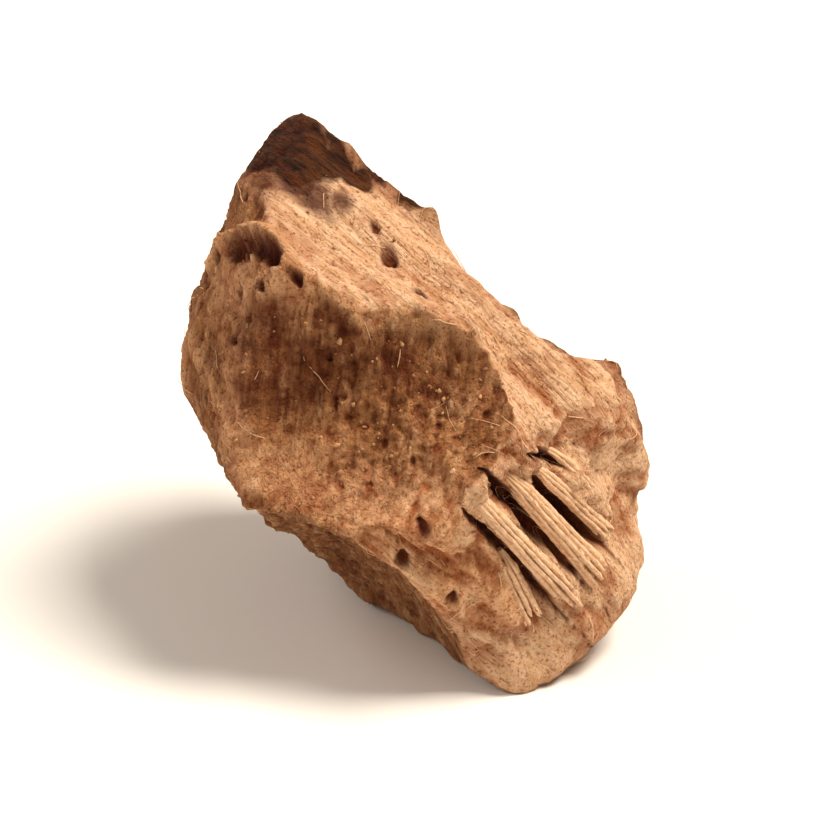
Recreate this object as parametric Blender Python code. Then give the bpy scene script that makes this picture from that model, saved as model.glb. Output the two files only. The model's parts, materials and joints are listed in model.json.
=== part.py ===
"""One dried, broken piece of galangal root, about 13 mm across.

The piece is one solid. Its shape is what a set of flat breaks and splits leaves of the round
root: its radius in each direction is the soft minimum of the distances to those faces and to
the root's own skin. Hollows are struck out of it and lumps and relief are added on the way
out, and the torn fibres are tubes joined to it.
Metres, +Z up, the fibres running down to the front right, the origin under the middle of its box.
"""

import itertools

import bmesh
import bpy
import numpy as np

MM = 0.001

# Driving sizes
GRID = 26  # squares along each edge of the cube that the surface is worked from
EDGE_SHARPNESS = 44  # how tightly two faces meet; higher is sharper
HOLLOW_SHARPNESS = 70  # the same for the rim of a hollow
FIRST_GUESS = 6.0 * MM  # radius at which the relief is first read
FOOT_LEVEL = -6.42 * MM  # height of the worn flat that it rests on, from the middle of the piece
SKIN_STEP = 0.22 * MM  # thickness of the dark skin that is left on the piece
RING_SPACING = 3.1 * MM  # between the ring scars that leaves left round the root
RING_HEIGHT = 0.28 * MM
RING_WIDTH = 0.32 * MM
SHARP_ANGLE = 40  # degrees between two triangles, past which their edge shows as sharp

# The way the fibres run, and the two directions across them
FIBRE = np.array((0.707, -0.375, -0.600))
VIEW_SIDE = np.array((0.0, -0.848, 0.530))

# Every flat face: azimuth and elevation that it looks to, distance from the middle, and how it was made
FACES = {
    "front_break": (-107, 27, 3.75 * MM, "break"),
    "upper_split": (-50, 65, 4.10 * MM, "split"),
    "shoulder": (-20, 42, 3.90 * MM, "split"),
    "right_side": (-36, 17, 4.55 * MM, "split"),
    "right_end": (-28, -37, 8.30 * MM, "cut"),
    "lower_front": (-66, 5, 4.80 * MM, "split"),
    "lower_left": (-101, -6, 4.70 * MM, "split"),
    "left_end": (-152, 24, 5.35 * MM, "break"),
    "left_shoulder": (168, 18, 6.80 * MM, "break"),
    "left_side": (178, -4, 6.40 * MM, "cut"),
    "undercut": (-140, -42, 4.95 * MM, "break"),
    "left_undercut": (-160, -25, 5.15 * MM, "break"),
    "left_low": (-178, -38, 5.40 * MM, "break"),
    "back_left": (128, 18, 7.20 * MM, "break"),
    "back_low": (75, -40, 6.10 * MM, "split"),
    "right_low": (10, -40, 7.60 * MM, "break"),
    "right_back": (8, -8, 6.65 * MM, "split"),
    "peak": (165, 70, 7.30 * MM, "skin"),
    "foot": (0, -90, 6.50 * MM, "cut"),
}

# The root's own round outside: its middle, and its half widths across, outwards and along the fibres
SKIN_MIDDLE = np.array((-0.8, -4.2, -3.5)) * MM
SKIN_HALF_WIDTHS = np.array((8.6, 8.6, 30.0)) * MM

# Swellings and sinkings: place, how far they spread, height
LUMPS = {
    "shoulder": ((4.9, -0.4, 1.1), 1.4 * MM, 1.10 * MM),
    "knob": ((-4.6, 0.0, 4.9), 0.9 * MM, 0.50 * MM),
    "lower_lip": ((-3.8, -3.6, -0.6), 0.8 * MM, 0.35 * MM),
    "peak": ((-3.3, 4.6, 6.3), 1.1 * MM, 0.60 * MM),
    "block_corner": ((0.8, -4.7, 0.0), 0.9 * MM, 0.40 * MM),
}

# Shell-shaped breaks: the deepest place, the azimuth and elevation that it looks to, radius of its curve
HOLLOWS = {
    "dish_low": ((-0.88, -2.56, 1.22), -109, 24, 6.0 * MM, "break"),
    "dish_left": ((-1.71, -2.76, 2.14), -122, 33, 5.0 * MM, "break"),
    "dish_right": ((0.29, -2.30, 2.00), -83, 41, 4.8 * MM, "break"),
    "saddle": ((3.1, 0.58, 2.2), 50, 40, 5.3 * MM, "split"),
    "under_notch": ((-0.2, -3.6, -3.1), -150, -38, 7.5 * MM, "break"),
    "left_back": ((-4.1, 3.4, -1.1), 140, -12, 12.0 * MM, "break"),
    "back_right": ((2.6, 3.7, -2.8), 55, -32, 11.0 * MM, "break"),
    "left_under": ((-3.4, -0.9, -3.8), -165, -48, 14.0 * MM, "break"),
}

# Splits between the fibres of the shoulder: where each starts and ends, as azimuth and elevation, and
# half its width. Each is cut twice, one tube under the other, as deep as these shares of half its width
SLOT_DEPTHS = (0.1, 1.2)
SLOTS = (
    ((-66, 10), (-35, -31), 0.24 * MM),
    ((-45, 0), (-22, -29), 0.34 * MM),
    ((-74, -1), (-41, -38), 0.22 * MM),
)

# Fibre bundles that stand out between the splits: the same two ends, and half the thickness
STRANDS = (
    ((-73, 8), (-37, -38), 0.32 * MM),
    ((-54, 19), (-27, -31), 0.36 * MM),
    ((-44, 2), (-19, -27), 0.26 * MM),
    ((-58, -26), (-48, -40), 0.22 * MM),
)
STRAND_SINK = 0.25  # how deep a bundle's middle lies, as a share of half its thickness

# Dark pits where canals were cut open: azimuth, elevation, radius. The first four run together in the knob
PITS = (
    (171, 45, 0.42 * MM),
    (175, 49, 0.36 * MM),
    (180, 52, 0.33 * MM),
    (-175, 54, 0.38 * MM),
    (139, 80, 0.26 * MM),
    (-63, 83, 0.23 * MM),
    (-164, 56, 0.20 * MM),
    (-178, 40, 0.20 * MM),
    (-170, 47, 0.16 * MM),
    (131, 74, 0.15 * MM),
    (-86, -9, 0.20 * MM),
    (-93, -23, 0.22 * MM),
    (-77, -32, 0.18 * MM),
)
HIDDEN_PITS = 9  # scattered over the sides that the fibres end on
HIDDEN_PIT_RADIUS = (0.14 * MM, 0.26 * MM)
SEED = 41


def unit(vectors):
    """Each vector at a length of one."""
    vectors = np.asarray(vectors, float)
    return vectors / np.linalg.norm(vectors, axis=-1, keepdims=True)


FIBRE = unit(FIBRE)
ACROSS = unit(np.cross(VIEW_SIDE, FIBRE))
OUTWARDS = np.cross(FIBRE, ACROSS)
GRAIN = np.array((ACROSS, OUTWARDS, FIBRE))


def facing(azimuth, elevation):
    """The direction that looks to an azimuth from +X towards +Y and an elevation, in degrees."""
    a, e = np.radians(azimuth), np.radians(elevation)
    return np.stack((np.cos(a) * np.cos(e), np.sin(a) * np.cos(e), np.sin(e)), axis=-1)


def noise(points, seed):
    """Smooth random values from about -1 to 1: gradient noise on a lattice with steps of one."""
    rng = np.random.default_rng(seed)
    slopes = unit(rng.normal(size=(256, 3)))
    order = rng.permutation(256)
    cell = np.floor(points).astype(np.int64)
    part = points - cell
    fade = part**3 * (part * (part * 6 - 15) + 10)
    total = np.zeros(len(points))
    for corner in itertools.product((0, 1), repeat=3):
        x, y, z = (cell + corner).T & 255
        slope = slopes[order[(order[(order[x] + y) & 255] + z) & 255]]
        weight = np.prod(np.where(corner, fade, 1 - fade), axis=1)
        total += weight * np.einsum("ij,ij->i", slope, part - corner)
    return 1.6 * total


def along_fibres(points, across, along, seed):
    """Noise drawn out along the fibres: its grain is `across` wide and `along` long."""
    return noise(points @ GRAIN.T / (across, across, along), seed)


def skin_distance(directions):
    """How far it is from the middle to the root's round outside, an ellipsoid in the fibres' axes."""
    start = -SKIN_MIDDLE @ GRAIN.T / SKIN_HALF_WIDTHS
    step = directions @ GRAIN.T / SKIN_HALF_WIDTHS
    a, b, c = np.sum(step**2, axis=1), step @ start, start @ start - 1
    return (np.sqrt(b**2 - a * c) - b) / a


def face_distances(directions):
    """One row for each face: how far it is from the middle to that face, uneven as broken root is."""
    guess = directions * FIRST_GUESS
    rows = []
    for count, (name, (azimuth, elevation, distance, _)) in enumerate(FACES.items()):
        lean = directions @ facing(azimuth, elevation)
        if name != "foot":
            place = guess + count * 7 * MM
            distance = distance + 0.16 * MM * noise(place / (2.2 * MM), 11)
            distance = distance + 0.07 * MM * noise(place / (0.9 * MM), 12)
        rows.append(np.where(lean > 1e-3, distance / np.maximum(lean, 1e-3), 1.0))
    rows.append(skin_distance(directions) + 0.12 * MM * noise(guess / (1.5 * MM), 13))
    return np.array(rows)


def soft_minimum(rows, sharpness):
    """The least of several distances, rounded where two are alike, and each one's share in it."""
    shares = (rows / MM) ** -float(sharpness)
    total = shares.sum(axis=0)
    return MM * total ** (-1 / sharpness), shares / total


def kind_shares(shares, struck):
    """How much each point belongs to a break, a split, a cut or the skin, with the hollows' own kinds."""
    own_kind = [face[3] for face in FACES.values()] + ["skin"]
    kinds = {}
    for kind in ("break", "split", "cut", "skin"):
        faces = sum(share for share, own in zip(shares, own_kind) if own == kind)
        kinds[kind] = (1 - sum(struck.values())) * faces + struck.get(kind, 0)
    return kinds


def add_lumps(directions, radius):
    """Each lump raises the surface near its place by a bell curve."""
    points = directions * radius[:, None]
    for place, spread, height in LUMPS.values():
        away = np.sum((points - np.array(place) * MM) ** 2, axis=1)
        radius = radius + height * np.exp(-away / (2 * spread**2))
    return radius


def strike_hollows(directions, radius):
    """Each hollow is where a large ball outside the piece reaches into it. Also gives their share."""
    struck = {"break": np.zeros(len(directions)), "split": np.zeros(len(directions))}
    for place, azimuth, elevation, curve, kind in HOLLOWS.values():
        ball = np.array(place) * MM + facing(azimuth, elevation) * curve
        reach = directions @ ball
        inside = reach**2 - ball @ ball + curve**2
        near = np.where((inside > 0) & (reach > 0), reach - np.sqrt(np.maximum(inside, 0)), 1.0)
        ragged = near + 0.10 * MM * noise(directions * FIRST_GUESS / (1.1 * MM), 21)
        radius, shares = soft_minimum(np.array((radius, ragged)), HOLLOW_SHARPNESS)
        for own in struck:
            reached = shares[1] if own == kind else 0
            struck[own] = np.maximum(struck[own] * shares[0], reached)
    return radius, struck


def relief(points, kinds):
    """The surface of each kind of face: lumpy breaks, stepped splits, wrinkled skin with ring scars."""
    lumpy = 0.15 * MM * noise(points / (1.3 * MM), 30) + 0.10 * MM * noise(points / (0.8 * MM), 31)
    strips = along_fibres(points, 1.1 * MM, 6 * MM, 32)
    stepped = 0.20 * MM * np.tanh(4 * strips)
    stepped += 0.08 * MM * along_fibres(points, 0.7 * MM, 4 * MM, 33)
    wrinkled = -0.11 * MM * np.abs(along_fibres(points, 0.8 * MM, 5 * MM, 34))
    along = points @ FIBRE + 0.35 * MM * noise(points / (2.0 * MM), 35)
    off_ring = (along + RING_SPACING / 2) % RING_SPACING - RING_SPACING / 2
    rings = RING_HEIGHT * np.exp(-((off_ring / RING_WIDTH) ** 2))
    skin = SKIN_STEP + wrinkled + rings
    return kinds["break"] * lumpy + kinds["split"] * stepped + kinds["skin"] * skin


def surface(directions):
    """The point of the piece's surface in each direction from its middle."""
    radius, shares = soft_minimum(face_distances(directions), EDGE_SHARPNESS)
    radius, struck = strike_hollows(directions, add_lumps(directions, radius))
    points = directions * radius[:, None]
    radius = radius + relief(points, kind_shares(shares, struck))
    points = directions * radius[:, None]
    points[:, 2] = np.maximum(points[:, 2], FOOT_LEVEL)
    return points


def new_object(name, mesh, collection):
    """A mesh object in a collection."""
    obj = bpy.data.objects.new(name, mesh)
    collection.objects.link(obj)
    return obj


def body(collection):
    """The whole piece but for its torn fibres: a finely divided cube blown out to the surface."""
    bm = bmesh.new()
    bmesh.ops.create_cube(bm, size=2)
    bmesh.ops.subdivide_edges(bm, edges=bm.edges, cuts=GRID - 1, use_grid_fill=True)
    mesh = bpy.data.meshes.new("galangal_root")
    bm.to_mesh(mesh)
    bm.free()
    corners = np.empty(len(mesh.vertices) * 3, np.float32)
    mesh.vertices.foreach_get("co", corners)
    even = np.tan(corners.reshape(-1, 3).astype(float) * np.pi / 4)
    mesh.vertices.foreach_set("co", surface(unit(even)).astype(np.float32).ravel())
    mesh.update()
    return new_object("galangal_root", mesh, collection)


def tube(name, points, radii, collection):
    """A round tapered tube through some points, closed at both ends, as a mesh."""
    curve = bpy.data.curves.new(name, "CURVE")
    curve.dimensions = "3D"
    curve.bevel_depth = 1.0
    curve.bevel_resolution = 1
    curve.use_fill_caps = True
    line = curve.splines.new("POLY")
    line.points.add(len(points) - 1)
    for spot, point, radius in zip(line.points, points, radii):
        spot.co = (*point, 1)
        spot.radius = radius
    guide = bpy.data.objects.new(name, curve)
    collection.objects.link(guide)
    bpy.context.view_layer.update()
    evaluated = guide.evaluated_get(bpy.context.evaluated_depsgraph_get())
    mesh = bpy.data.meshes.new_from_object(evaluated)
    bpy.data.objects.remove(guide)
    bm = bmesh.new()
    bm.from_mesh(mesh)
    bmesh.ops.remove_doubles(bm, verts=bm.verts, dist=1e-6)
    bmesh.ops.recalc_face_normals(bm, faces=bm.faces)
    bm.to_mesh(mesh)
    bm.free()
    return new_object(name, mesh, collection)


def over_surface(start, end, lift, count=7):
    """Points along the surface from one direction to another, raised by `lift`."""
    share = np.linspace(0, 1, count)[:, None]
    directions = unit((1 - share) * facing(*start) + share * facing(*end))
    return surface(directions) + directions * lift


def spindle(count, thick):
    """Radii that swell from thin ends to the middle, as the sine of the way along."""
    return thick * (0.3 + 0.7 * np.sin(np.linspace(0.08, 0.92, count) * np.pi))


def pit(azimuth, elevation, radius, collection):
    """A ball where a pit is to be cut."""
    bm = bmesh.new()
    bmesh.ops.create_icosphere(bm, subdivisions=2, radius=radius)
    mesh = bpy.data.meshes.new("pit")
    bm.to_mesh(mesh)
    bm.free()
    ball = new_object("pit", mesh, collection)
    ball.location = surface(facing(azimuth, elevation)[None])[0]


def hidden_pits():
    """Seeded places of more pits, round the two ends of the piece and away from its foot."""
    rng = np.random.default_rng(SEED)
    places = []
    while len(places) < HIDDEN_PITS:
        azimuth, elevation = rng.uniform(0, 200), rng.uniform(-35, 50)
        if abs(facing(azimuth, elevation) @ FIBRE) > 0.5:
            places.append((azimuth, elevation, rng.uniform(*HIDDEN_PIT_RADIUS)))
    return places


def join(piece, tools, operation):
    """Joins every tool to the piece, or cuts them from it, and removes the tools."""
    modifier = piece.modifiers.new(operation.lower(), "BOOLEAN")
    modifier.operation = operation
    modifier.operand_type = "COLLECTION"
    modifier.collection = tools
    modifier.solver = "EXACT"
    modifier.use_self = operation == "UNION"
    bpy.context.view_layer.update()
    evaluated = piece.evaluated_get(bpy.context.evaluated_depsgraph_get())
    mesh = bpy.data.meshes.new_from_object(evaluated)
    piece.modifiers.clear()
    piece.data = mesh
    for tool in list(tools.objects):
        bpy.data.objects.remove(tool)
    bpy.data.collections.remove(tools)


def new_collection(name):
    collection = bpy.data.collections.new(name)
    bpy.context.scene.collection.children.link(collection)
    return collection


def cut_openings(piece):
    """The narrow splits in the shoulder, cut along the fibres, and the pits."""
    cutters = new_collection("openings")
    for start, end, wide in SLOTS:
        for depth in SLOT_DEPTHS:
            points = over_surface(start, end, -depth * wide)
            tube("split", points, spindle(len(points), wide), cutters)
    for place in (*PITS, *hidden_pits()):
        pit(*place, cutters)
    join(piece, cutters, "DIFFERENCE")


def add_fibres(piece):
    """The bundles that stand between the splits, and the torn ends."""
    fibres = new_collection("fibres")
    for start, end, thick in STRANDS:
        points = over_surface(start, end, -STRAND_SINK * thick)
        tube("strand", points, spindle(len(points), thick), fibres)
    join(piece, fibres, "UNION")


def dried_root():
    """Dried galangal flesh, a matt reddish brown."""
    material = bpy.data.materials.new("dried_root")
    material.use_nodes = True
    shader = material.node_tree.nodes["Principled BSDF"]
    shader.inputs["Base Color"].default_value = (0.40, 0.19, 0.09, 1)
    shader.inputs["Roughness"].default_value = 0.9
    shader.inputs["Metallic"].default_value = 0.0
    return material


def stand_on_origin(piece):
    """Moves the piece so that the origin is under the middle of its box, level with its foot."""
    places = np.empty(len(piece.data.vertices) * 3, np.float32)
    piece.data.vertices.foreach_get("co", places)
    places = places.reshape(-1, 3)
    low, high = places.min(axis=0), places.max(axis=0)
    under = np.array(((low[0] + high[0]) / 2, (low[1] + high[1]) / 2, low[2]))
    piece.data.vertices.foreach_set("co", (places - under).ravel())
    piece.data.update()


def finish(piece):
    """Splits every face into triangles, shades the piece smooth but for its sharp edges, and colours it."""
    bm = bmesh.new()
    bm.from_mesh(piece.data)
    bmesh.ops.triangulate(bm, faces=bm.faces)
    bm.to_mesh(piece.data)
    bm.free()
    piece.data.shade_smooth()
    piece.data.set_sharp_from_angle(angle=np.radians(SHARP_ANGLE))
    piece.data.materials.clear()
    piece.data.materials.append(dried_root())


def main():
    for obj in list(bpy.data.objects):
        bpy.data.objects.remove(obj)
    collection = new_collection("galangal_root")
    piece = body(collection)
    add_fibres(piece)
    cut_openings(piece)
    stand_on_origin(piece)
    finish(piece)
    return piece


if __name__ == "__main__":
    main()
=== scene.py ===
# %% [markdown]
# # A chunk of dried galangal root
#
# Galangal is a ginger-like root. It is cut up fresh and dried until it is as hard as wood, and
# this is one chunk of it, about 13 mm across, broken and split on every side but where some of
# its brown skin is left. This notebook makes its visible surface: the flesh with its breaks,
# splits and pits, the torn fibres of its shoulder, and the hairs and crumbs that cling to it.

import functools
import itertools
import json

import bpy
import numpy as np
from mathutils import Matrix, Vector

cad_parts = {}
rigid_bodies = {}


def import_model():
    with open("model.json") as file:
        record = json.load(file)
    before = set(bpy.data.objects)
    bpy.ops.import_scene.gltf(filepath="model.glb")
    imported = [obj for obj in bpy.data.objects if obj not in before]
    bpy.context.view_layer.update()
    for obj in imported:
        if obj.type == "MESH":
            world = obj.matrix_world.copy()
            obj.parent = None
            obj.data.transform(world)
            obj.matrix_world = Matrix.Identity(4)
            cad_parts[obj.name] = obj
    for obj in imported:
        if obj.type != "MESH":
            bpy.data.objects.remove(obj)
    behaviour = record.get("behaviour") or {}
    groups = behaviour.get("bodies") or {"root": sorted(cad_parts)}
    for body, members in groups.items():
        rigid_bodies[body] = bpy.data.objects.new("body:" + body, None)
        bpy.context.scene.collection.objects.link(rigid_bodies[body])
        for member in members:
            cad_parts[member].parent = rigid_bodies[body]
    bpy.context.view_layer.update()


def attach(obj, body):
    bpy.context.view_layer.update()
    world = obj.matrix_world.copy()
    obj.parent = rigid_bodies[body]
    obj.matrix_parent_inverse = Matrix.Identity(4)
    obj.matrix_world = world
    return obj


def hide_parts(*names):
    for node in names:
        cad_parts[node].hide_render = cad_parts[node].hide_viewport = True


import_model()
MM = 0.001

# %% [markdown]
# ## Which way the fibres run
#
# The root's fibres run along it like the grain of wood, and nearly everything that is seen
# follows them: the splits lie along them, and the skin's ring scars go round them. So three
# directions are fixed first: along the fibres, across them to the upper right, and out of the
# front. The flesh of a break is streaked the way it tore, more steeply, so the tear has three
# directions of its own. A direction from the middle is often given as an azimuth and an elevation.

# %% The grain of the root
def unit(vectors):
    """Each vector at a length of one."""
    vectors = np.asarray(vectors, float)
    return vectors / np.linalg.norm(vectors, axis=-1, keepdims=True)


def facing(azimuth, elevation):
    """The direction that looks to an azimuth from +X towards +Y and an elevation, in degrees."""
    a, e = np.radians(azimuth), np.radians(elevation)
    return np.stack((np.cos(a) * np.cos(e), np.sin(a) * np.cos(e), np.sin(e)), axis=-1)


FIBRE = unit((0.707, -0.375, -0.600))
VIEW_SIDE = np.array((0.0, -0.848, 0.530))
ACROSS = unit(np.cross(VIEW_SIDE, FIBRE))
OUTWARDS = np.cross(FIBRE, ACROSS)
GRAIN = np.array((ACROSS, OUTWARDS, FIBRE))
TEAR = unit((0.12, 0.42, 0.90))
TEAR_SIDE = unit(np.cross(VIEW_SIDE, TEAR))
TEAR_GRAIN = np.array((TEAR_SIDE, np.cross(TEAR, TEAR_SIDE), TEAR))

# %% [markdown]
# ## Unevenness
#
# No face of a broken root is flat. Its unevenness is made of smooth random values, called
# gradient noise, at several sizes: large lumps, grains, and fine roughness. Squeezed across the
# fibres and drawn out along them, the same noise gives strips and ridges. Broken flesh is also
# full of pores, which lie at scattered seed points, one in each cell of a lattice.

# %% Smooth steps and bells, noise, noise along the grain, and scattered points
SLOPES = 256  # how many random slopes the noise draws from
NOISE_GAIN = 1.6  # brings its values to about -1 to 1
SCATTERED = 1024  # how many random places the scattered points draw from


def smooth_step(low, high, values):
    """Zero below `low`, one above `high`, and an S-curve between."""
    share = np.clip((values - low) / (high - low), 0, 1)
    return share**2 * (3 - 2 * share)


def bell(points, place, spread):
    """One at a place, and dying away with the distance from it as a bell curve."""
    return np.exp(-np.sum((points - place) ** 2, axis=1) / (2 * spread**2))


def noise(points, seed):
    """Smooth random values from about -1 to 1: gradient noise on a lattice with steps of one."""
    rng = np.random.default_rng(seed)
    slopes = unit(rng.normal(size=(SLOPES, 3)))
    order = rng.permutation(SLOPES)
    cell = np.floor(points).astype(np.int64)
    part = points - cell
    fade = part**3 * (part * (part * 6 - 15) + 10)
    total = np.zeros(len(points))
    for corner in itertools.product((0, 1), repeat=3):
        x, y, z = (cell + corner).T % SLOPES
        slope = slopes[order[(order[(order[x] + y) % SLOPES] + z) % SLOPES]]
        weight = np.prod(np.where(corner, fade, 1 - fade), axis=1)
        total += weight * np.einsum("ij,ij->i", slope, part - corner)
    return NOISE_GAIN * total


def along_fibres(points, across, along, seed):
    """Noise drawn out along the fibres: its grain is `across` wide and `along` long."""
    return noise(points @ GRAIN.T / (across, across, along), seed)


def nearest_point(points, seed):
    """How far it is from each point to the nearest scattered point, one of which lies in each cell."""
    rng = np.random.default_rng(seed)
    offsets = rng.uniform(0.1, 0.9, size=(SCATTERED, 3))
    order = rng.permutation(SCATTERED)
    cell = np.floor(points).astype(np.int64)
    nearest = np.full(len(points), np.inf)
    for step in itertools.product((-1, 0, 1), repeat=3):
        x, y, z = (cell + step).T % SCATTERED
        offset = offsets[order[(order[(order[x] + y) % SCATTERED] + z) % SCATTERED]]
        nearest = np.minimum(nearest, np.linalg.norm(points - (cell + step + offset), axis=1))
    return nearest


# %% [markdown]
# ## The main form
#
# Seen from its middle, the piece has one surface in each direction, so its whole shape is a
# radius for each direction. Every flat face gives a distance, the nearest one counts, and a soft
# minimum rounds the edge where two of them meet. The root's own round outside is one more such
# face, an ellipsoid. The front of the piece is hollow like a shell, because dried root breaks as
# flint does, so large balls are struck out of it, and out of the other sides more shallowly.
#
# A face is the azimuth and elevation it looks to, its distance and its kind. A lump is its place
# in millimetres from the middle, its spread and its height. A hollow is a place on it, the way
# from there to the centre of its ball, the ball's radius, and the kind of face that it leaves.

# %% Faces, skin, lumps and hollows, in the same sizes as the plain solid
EDGE_SHARPNESS = 44
HOLLOW_SHARPNESS = 70
FIRST_GUESS = 6.0 * MM  # a radius that is near enough to look up the unevenness with
NOISE_SHIFT = 7 * MM  # from one face's unevenness to the next one's
LEAST_LEAN = 1e-3  # a way that leans less than this towards a face never meets it
FAR_AWAY = 1.0  # the distance of what is never met
FOOT_LEVEL = -6.42 * MM
FACES = {
    "front_break": (-107, 27, 3.75 * MM, "break"),
    "upper_split": (-50, 65, 4.10 * MM, "split"),
    "shoulder": (-20, 42, 3.90 * MM, "split"),
    "right_side": (-36, 17, 4.55 * MM, "split"),
    "right_end": (-28, -37, 8.30 * MM, "cut"),
    "lower_front": (-66, 5, 4.80 * MM, "split"),
    "lower_left": (-101, -6, 4.70 * MM, "split"),
    "left_end": (-152, 24, 5.35 * MM, "break"),
    "left_shoulder": (168, 18, 6.80 * MM, "break"),
    "left_side": (178, -4, 6.40 * MM, "cut"),
    "undercut": (-140, -42, 4.95 * MM, "break"),
    "left_undercut": (-160, -25, 5.15 * MM, "break"),
    "left_low": (-178, -38, 5.40 * MM, "break"),
    "back_left": (128, 18, 7.20 * MM, "break"),
    "back_low": (75, -40, 6.10 * MM, "split"),
    "right_low": (10, -40, 7.60 * MM, "break"),
    "right_back": (8, -8, 6.65 * MM, "split"),
    "peak": (165, 70, 7.30 * MM, "skin"),
    "foot": (0, -90, 6.50 * MM, "cut"),
}
KINDS = ("break", "split", "cut", "skin")
OWN_KIND = [face[3] for face in FACES.values()] + ["skin"]
SKIN_MIDDLE = np.array((-0.8, -4.2, -3.5)) * MM
SKIN_HALF_WIDTHS = np.array((8.6, 8.6, 30.0)) * MM
LUMPS = {
    "shoulder": ((4.9, -0.4, 1.1), 1.4 * MM, 1.10 * MM),
    "knob": ((-4.6, 0.0, 4.9), 0.9 * MM, 0.50 * MM),
    "lower_lip": ((-3.8, -3.6, -0.6), 0.8 * MM, 0.35 * MM),
    "peak": ((-3.3, 4.6, 6.3), 1.1 * MM, 0.60 * MM),
    "block_corner": ((0.8, -4.7, 0.0), 0.9 * MM, 0.40 * MM),
}
HOLLOWS = {
    "dish_low": ((-0.88, -2.56, 1.22), -109, 24, 6.0 * MM, "break"),
    "dish_left": ((-1.71, -2.76, 2.14), -122, 33, 5.0 * MM, "break"),
    "dish_right": ((0.29, -2.30, 2.00), -83, 41, 4.8 * MM, "break"),
    "saddle": ((3.1, 0.58, 2.2), 50, 40, 5.3 * MM, "split"),
    "under_notch": ((-0.2, -3.6, -3.1), -150, -38, 7.5 * MM, "break"),
    "left_back": ((-4.1, 3.4, -1.1), 140, -12, 12.0 * MM, "break"),
    "back_right": ((2.6, 3.7, -2.8), 55, -32, 11.0 * MM, "break"),
    "left_under": ((-3.4, -0.9, -3.8), -165, -48, 14.0 * MM, "break"),
}


def skin_distance(directions):
    """How far it is from the middle to the root's round outside, an ellipsoid in the fibres' axes."""
    start = -SKIN_MIDDLE @ GRAIN.T / SKIN_HALF_WIDTHS
    step = directions @ GRAIN.T / SKIN_HALF_WIDTHS
    a, b, c = np.sum(step**2, axis=1), step @ start, start @ start - 1
    return (np.sqrt(b**2 - a * c) - b) / a


def face_distances(directions):
    """One row for each face: how far it is from the middle to that face, uneven as broken root is."""
    guess = directions * FIRST_GUESS
    rows = []
    for count, (name, (azimuth, elevation, distance, _)) in enumerate(FACES.items()):
        lean = directions @ facing(azimuth, elevation)
        if name != "foot":
            place = guess + count * NOISE_SHIFT
            distance = distance + 0.16 * MM * noise(place / (2.2 * MM), 11)
            distance = distance + 0.07 * MM * noise(place / (0.9 * MM), 12)
        met = distance / np.maximum(lean, LEAST_LEAN)
        rows.append(np.where(lean > LEAST_LEAN, met, FAR_AWAY))
    rows.append(skin_distance(directions) + 0.12 * MM * noise(guess / (1.5 * MM), 13))
    return np.array(rows)


def soft_minimum(rows, sharpness):
    """The least of several distances, rounded where two are alike, and each one's share in it."""
    shares = (rows / MM) ** -float(sharpness)
    total = shares.sum(axis=0)
    return MM * total ** (-1 / sharpness), shares / total


def kind_shares(shares, struck):
    """How much each point belongs to a break, a split, a cut or the skin, with the hollows' own kinds."""
    kinds = {}
    for kind in KINDS:
        faces = sum(share for share, own in zip(shares, OWN_KIND) if own == kind)
        kinds[kind] = (1 - sum(struck.values())) * faces + struck.get(kind, 0)
    return kinds


def add_lumps(directions, radius):
    """Each lump raises the surface near its place by a bell curve."""
    points = directions * radius[:, None]
    for place, spread, height in LUMPS.values():
        radius = radius + height * bell(points, np.array(place) * MM, spread)
    return radius


def strike_hollows(directions, radius, fine=None):
    """Each hollow is where a large ball outside the piece reaches into it, with `fine` on its wall.

    Gives the radius, and how much of each point the hollows of each kind took."""
    struck = {"break": np.zeros(len(directions)), "split": np.zeros(len(directions))}
    for place, azimuth, elevation, curve, kind in HOLLOWS.values():
        ball = np.array(place) * MM + facing(azimuth, elevation) * curve
        reach = directions @ ball
        inside = reach**2 - ball @ ball + curve**2
        near = reach - np.sqrt(np.maximum(inside, 0))
        near = np.where((inside > 0) & (reach > 0), near, FAR_AWAY)
        ragged = near + 0.10 * MM * noise(directions * FIRST_GUESS / (1.1 * MM), 21)
        if fine:
            ragged = ragged + fine[kind]
        radius, shares = soft_minimum(np.array((radius, ragged)), HOLLOW_SHARPNESS)
        for own in struck:
            reached = shares[1] if own == kind else 0
            struck[own] = np.maximum(struck[own] * shares[0], reached)
    return radius, struck


# %% [markdown]
# ## The surface of each kind of face
#
# Where the flesh snapped across the fibres it is lumpy and granular. Where it split along them
# it is in long steps and ridges. The skin is wrinkled lengthwise from drying, and leaves once
# grew round it, each leaving a pale raised ring. The larger part of this relief is what the
# plain solid already has. The rest is too fine for it, and is only here: a function for each
# kind of face, which gives heights in metres.

# %% Relief, large and fine
RING_SPACING = 3.1 * MM
RING_HEIGHT = 0.28 * MM
RING_WIDTH = 0.32 * MM
SKIN_STEP = 0.22 * MM  # how far the skin stands above the flesh beside it
MEAN_SIZE = 0.3  # of the noise, taken without its sign


def ring_height(points):
    """One at the crest of a ring scar and zero between them: a bell curve of the way along the fibres."""
    along = points @ FIBRE + 0.35 * MM * noise(points / (2.0 * MM), 35)
    off_ring = (along + RING_SPACING / 2) % RING_SPACING - RING_SPACING / 2
    return np.exp(-((off_ring / RING_WIDTH) ** 2))


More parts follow.
